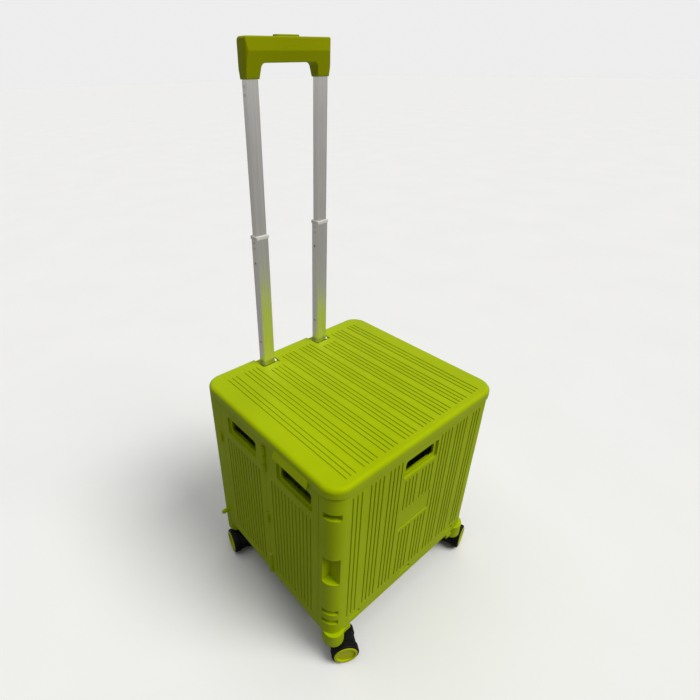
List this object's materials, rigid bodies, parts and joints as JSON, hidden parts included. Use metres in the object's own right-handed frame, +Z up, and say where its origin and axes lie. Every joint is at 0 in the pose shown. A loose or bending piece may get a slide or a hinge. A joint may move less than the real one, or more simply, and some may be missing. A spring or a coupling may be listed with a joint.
{
  "type": "folding rolling crate cart",
  "caption": "Lidded crate cart with bi-fold side walls, flip-up floor, telescopic pull handle and swivelling twin-wheel casters.",
  "frame": {"origin": "middle of the footprint's bounding box, on the ground", "axes": "+Z up, +Y from the front wall towards the pull handle, +X completes the right-handed frame"},
  "size_m": [0.4378, 0.4048, 0.994],
  "materials": {
    "green_shell": "fine moulded texture, lime green",
    "green_gloss": "smooth satin, lime green",
    "black_plastic": "fine spark texture, near black",
    "tyre_black": "smooth dark tyre",
    "tube_aluminium": "drawn and anodised, fine upright lines",
    "pin_steel": "bright drawn rod",
    "collar_white": "smooth, off white"
  },
  "bodies": {
    "rear_frame": {"back_panel": "green_shell", "outer_tube_left": "tube_aluminium", "outer_tube_right": "tube_aluminium", "rear_hinge_pins": "pin_steel", "floor_hinge_pins": "pin_steel"},
    "rear_leaf_left": {"rear_leaf_left": "green_shell", "mid_hinge_pins_left": "pin_steel"},
    "rear_leaf_right": {"rear_leaf_right": "green_shell", "mid_hinge_pins_right": "pin_steel"},
    "front_leaf_left": {"front_leaf_left": "green_shell"},
    "front_leaf_right": {"front_leaf_right": "green_shell"},
    "front_frame": {"front_panel": "green_shell", "front_hinge_pins": "pin_steel"},
    "floor": {"floor_panel": "green_shell"},
    "lid": {"lid": "green_shell"},
    "lower_stage": {"lower_tube_left": "tube_aluminium", "lower_tube_right": "tube_aluminium", "tube_collar_left": "collar_white", "tube_collar_right": "collar_white"},
    "upper_stage": {"upper_tube_left": "tube_aluminium", "upper_tube_right": "tube_aluminium", "lock_plug_left": "black_plastic", "lock_plug_right": "black_plastic", "upper_rivets": "pin_steel", "grip": "green_gloss"},
    "button": {"grip_button": "green_gloss", "grip_link_bar": "black_plastic", "push_rod_left": "pin_steel", "push_rod_right": "pin_steel"},
    "caster_front_left": {"caster_stem_front_left": "pin_steel", "caster_fork_front_left": "black_plastic", "caster_axle_front_left": "pin_steel"},
    "wheel_outer_front_left": {"tyre_outer_front_left": "tyre_black", "hub_outer_front_left": "green_gloss"},
    "wheel_inner_front_left": {"tyre_inner_front_left": "tyre_black", "hub_inner_front_left": "green_gloss"},
    "caster_front_right": {"caster_stem_front_right": "pin_steel", "caster_fork_front_right": "black_plastic", "caster_axle_front_right": "pin_steel"},
    "wheel_outer_front_right": {"tyre_outer_front_right": "tyre_black", "hub_outer_front_right": "green_gloss"},
    "wheel_inner_front_right": {"tyre_inner_front_right": "tyre_black", "hub_inner_front_right": "green_gloss"},
    "caster_rear_left": {"caster_stem_rear_left": "pin_steel", "caster_fork_rear_left": "black_plastic", "caster_axle_rear_left": "pin_steel"},
    "wheel_outer_rear_left": {"tyre_outer_rear_left": "tyre_black", "hub_outer_rear_left": "green_gloss"},
    "wheel_inner_rear_left": {"tyre_inner_rear_left": "tyre_black", "hub_inner_rear_left": "green_gloss"},
    "caster_rear_right": {"caster_stem_rear_right": "pin_steel", "caster_fork_rear_right": "black_plastic", "caster_axle_rear_right": "pin_steel"},
    "wheel_outer_rear_right": {"tyre_outer_rear_right": "tyre_black", "hub_outer_rear_right": "green_gloss"},
    "wheel_inner_rear_right": {"tyre_inner_rear_right": "tyre_black", "hub_inner_rear_right": "green_gloss"}
  },
  "joints": [
    {"name": "side_fold", "type": "hinge", "parent": "rear_frame", "child": "rear_leaf_left", "pos_m": [-0.18939, 0.131, 0.26635], "axis": [0, 0, 1], "range_deg": [0, 90]},
    {"name": "left_mid_hinge", "type": "hinge", "parent": "rear_leaf_left", "child": "front_leaf_left", "pos_m": [-0.20379, -0.0025, 0.26635], "axis": [0, 0, 1], "range_deg": [-180, 0]},
    {"name": "front_left_hinge", "type": "hinge", "parent": "front_leaf_left", "child": "front_frame", "pos_m": [-0.18939, -0.136, 0.26635], "axis": [0, 0, 1], "range_deg": [0, 90]},
    {"name": "right_rear_hinge", "type": "hinge", "parent": "rear_frame", "child": "rear_leaf_right", "pos_m": [0.17461, 0.131, 0.26635], "axis": [0, 0, 1], "range_deg": [-90, 0]},
    {"name": "right_mid_hinge", "type": "hinge", "parent": "rear_leaf_right", "child": "front_leaf_right", "pos_m": [0.18901, -0.0025, 0.26635], "axis": [0, 0, 1], "range_deg": [0, 180]},
    {"name": "floor_flip", "type": "hinge", "parent": "rear_frame", "child": "floor", "pos_m": [-0.00739, 0.1373, 0.0784], "axis": [-1, 0, 0], "range_deg": [0, 90]},
    {"name": "lid_lift", "type": "slide", "parent": "rear_frame", "child": "lid", "axis": [0, 0, 1], "range_m": [0, 0.1]},
    {"name": "lower_stage_slide", "type": "slide", "parent": "rear_frame", "child": "lower_stage", "axis": [0, 0, 1], "range_m": [-0.248, 0]},
    {"name": "upper_stage_slide", "type": "slide", "parent": "lower_stage", "child": "upper_stage", "axis": [0, 0, 1], "range_m": [-0.229, 0]},
    {"name": "button_press", "type": "slide", "parent": "upper_stage", "child": "button", "axis": [0, 0, 1], "range_m": [-0.004, 0], "stiffness_N_per_m": 600, "springref_m": 0.004},
    {"name": "swivel_front_left", "type": "hinge", "parent": "front_frame", "child": "caster_front_left", "pos_m": [-0.18439, -0.161, 0.06], "axis": [0, 0, 1], "continuous": true},
    {"name": "spin_outer_front_left", "type": "hinge", "parent": "caster_front_left", "child": "wheel_outer_front_left", "pos_m": [-0.16773, -0.17014, 0.026], "axis": [-0.481, -0.8767, 0], "continuous": true},
    {"name": "spin_inner_front_left", "type": "hinge", "parent": "caster_front_left", "child": "wheel_inner_front_left", "pos_m": [-0.16773, -0.17014, 0.026], "axis": [-0.481, -0.8767, 0], "continuous": true},
    {"name": "swivel_front_right", "type": "hinge", "parent": "front_frame", "child": "caster_front_right", "pos_m": [0.16961, -0.161, 0.06], "axis": [0, 0, 1], "continuous": true},
    {"name": "spin_outer_front_right", "type": "hinge", "parent": "caster_front_right", "child": "wheel_outer_front_right", "pos_m": [0.18774, -0.1553, 0.026], "axis": [0.3, -0.9539, 0], "continuous": true},
    {"name": "spin_inner_front_right", "type": "hinge", "parent": "caster_front_right", "child": "wheel_inner_front_right", "pos_m": [0.18774, -0.1553, 0.026], "axis": [0.3, -0.9539, 0], "continuous": true},
    {"name": "swivel_rear_left", "type": "hinge", "parent": "rear_frame", "child": "caster_rear_left", "pos_m": [-0.18439, 0.161, 0.06], "axis": [0, 0, 1], "continuous": true},
    {"name": "spin_outer_rear_left", "type": "hinge", "parent": "caster_rear_left", "child": "wheel_outer_rear_left", "pos_m": [-0.18837, 0.14242, 0.026], "axis": [-0.9778, 0.2096, 0], "continuous": true},
    {"name": "spin_inner_rear_left", "type": "hinge", "parent": "caster_rear_left", "child": "wheel_inner_rear_left", "pos_m": [-0.18837, 0.14242, 0.026], "axis": [-0.9778, 0.2096, 0], "continuous": true},
    {"name": "swivel_rear_right", "type": "hinge", "parent": "rear_frame", "child": "caster_rear_right", "pos_m": [0.16961, 0.161, 0.06], "axis": [0, 0, 1], "continuous": true},
    {"name": "spin_outer_rear_right", "type": "hinge", "parent": "caster_rear_right", "child": "wheel_outer_rear_right", "pos_m": [0.15295, 0.17014, 0.026], "axis": [0.481, 0.8767, 0], "continuous": true},
    {"name": "spin_inner_rear_right", "type": "hinge", "parent": "caster_rear_right", "child": "wheel_inner_rear_right", "pos_m": [0.15295, 0.17014, 0.026], "axis": [0.481, 0.8767, 0], "continuous": true}
  ],
  "couplings": [
    {"joint": "left_mid_hinge", "follows": "side_fold", "ratio": -2},
    {"joint": "front_left_hinge", "follows": "side_fold", "ratio": 1},
    {"joint": "right_rear_hinge", "follows": "side_fold", "ratio": -1},
    {"joint": "right_mid_hinge", "follows": "side_fold", "ratio": 2}
  ]
}
